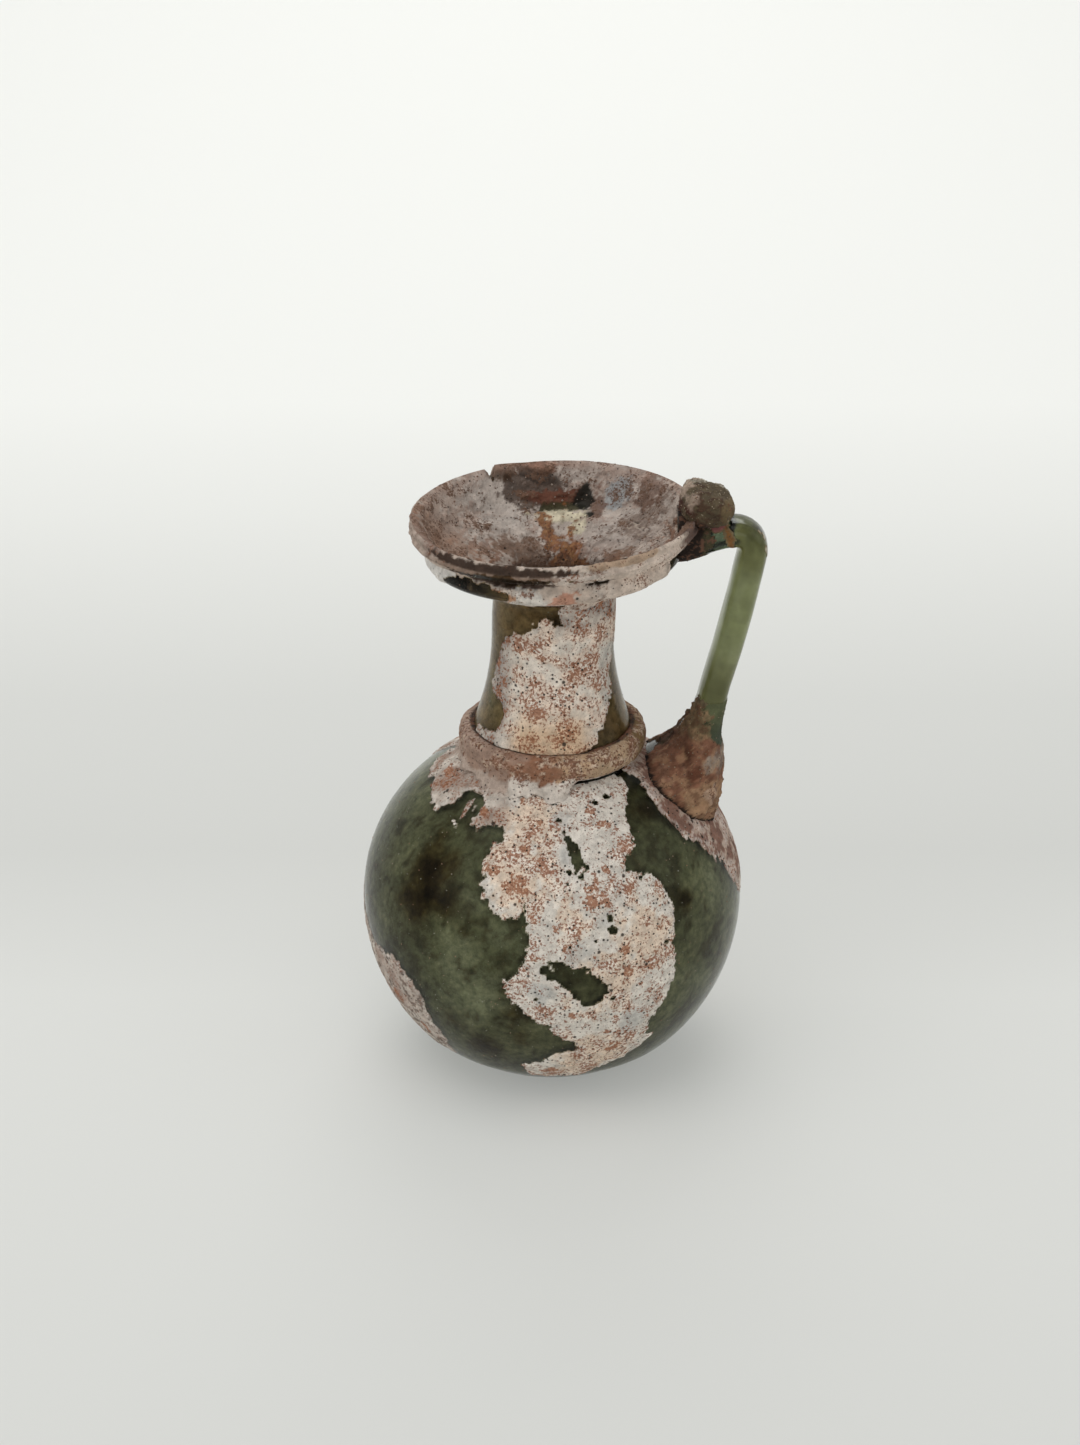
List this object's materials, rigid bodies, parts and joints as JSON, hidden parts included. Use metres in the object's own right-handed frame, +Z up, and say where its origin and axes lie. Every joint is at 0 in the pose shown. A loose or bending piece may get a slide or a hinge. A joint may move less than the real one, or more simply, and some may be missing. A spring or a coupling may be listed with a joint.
{
  "type": "jug",
  "caption": "Small globular jug of blown green glass with a collar at the foot of its neck, a wide shallow bowl mouth and a strap handle with a thumb rest, under crusty weathering.",
  "frame": {"origin": "centre of the flat underside, on the axis of the belly", "axes": "+Z up along the axis of belly and neck, +X towards the handle"},
  "size_m": [0.098, 0.0938, 0.1497],
  "materials": {
    "weathered_glass": "translucent dark olive-green blown glass, largely under a matte pale pinkish-grey weathering crust with terracotta-brown and ochre stains"
  },
  "bodies": {
    "root": {"jug": "weathered_glass"}
  },
  "joints": []
}
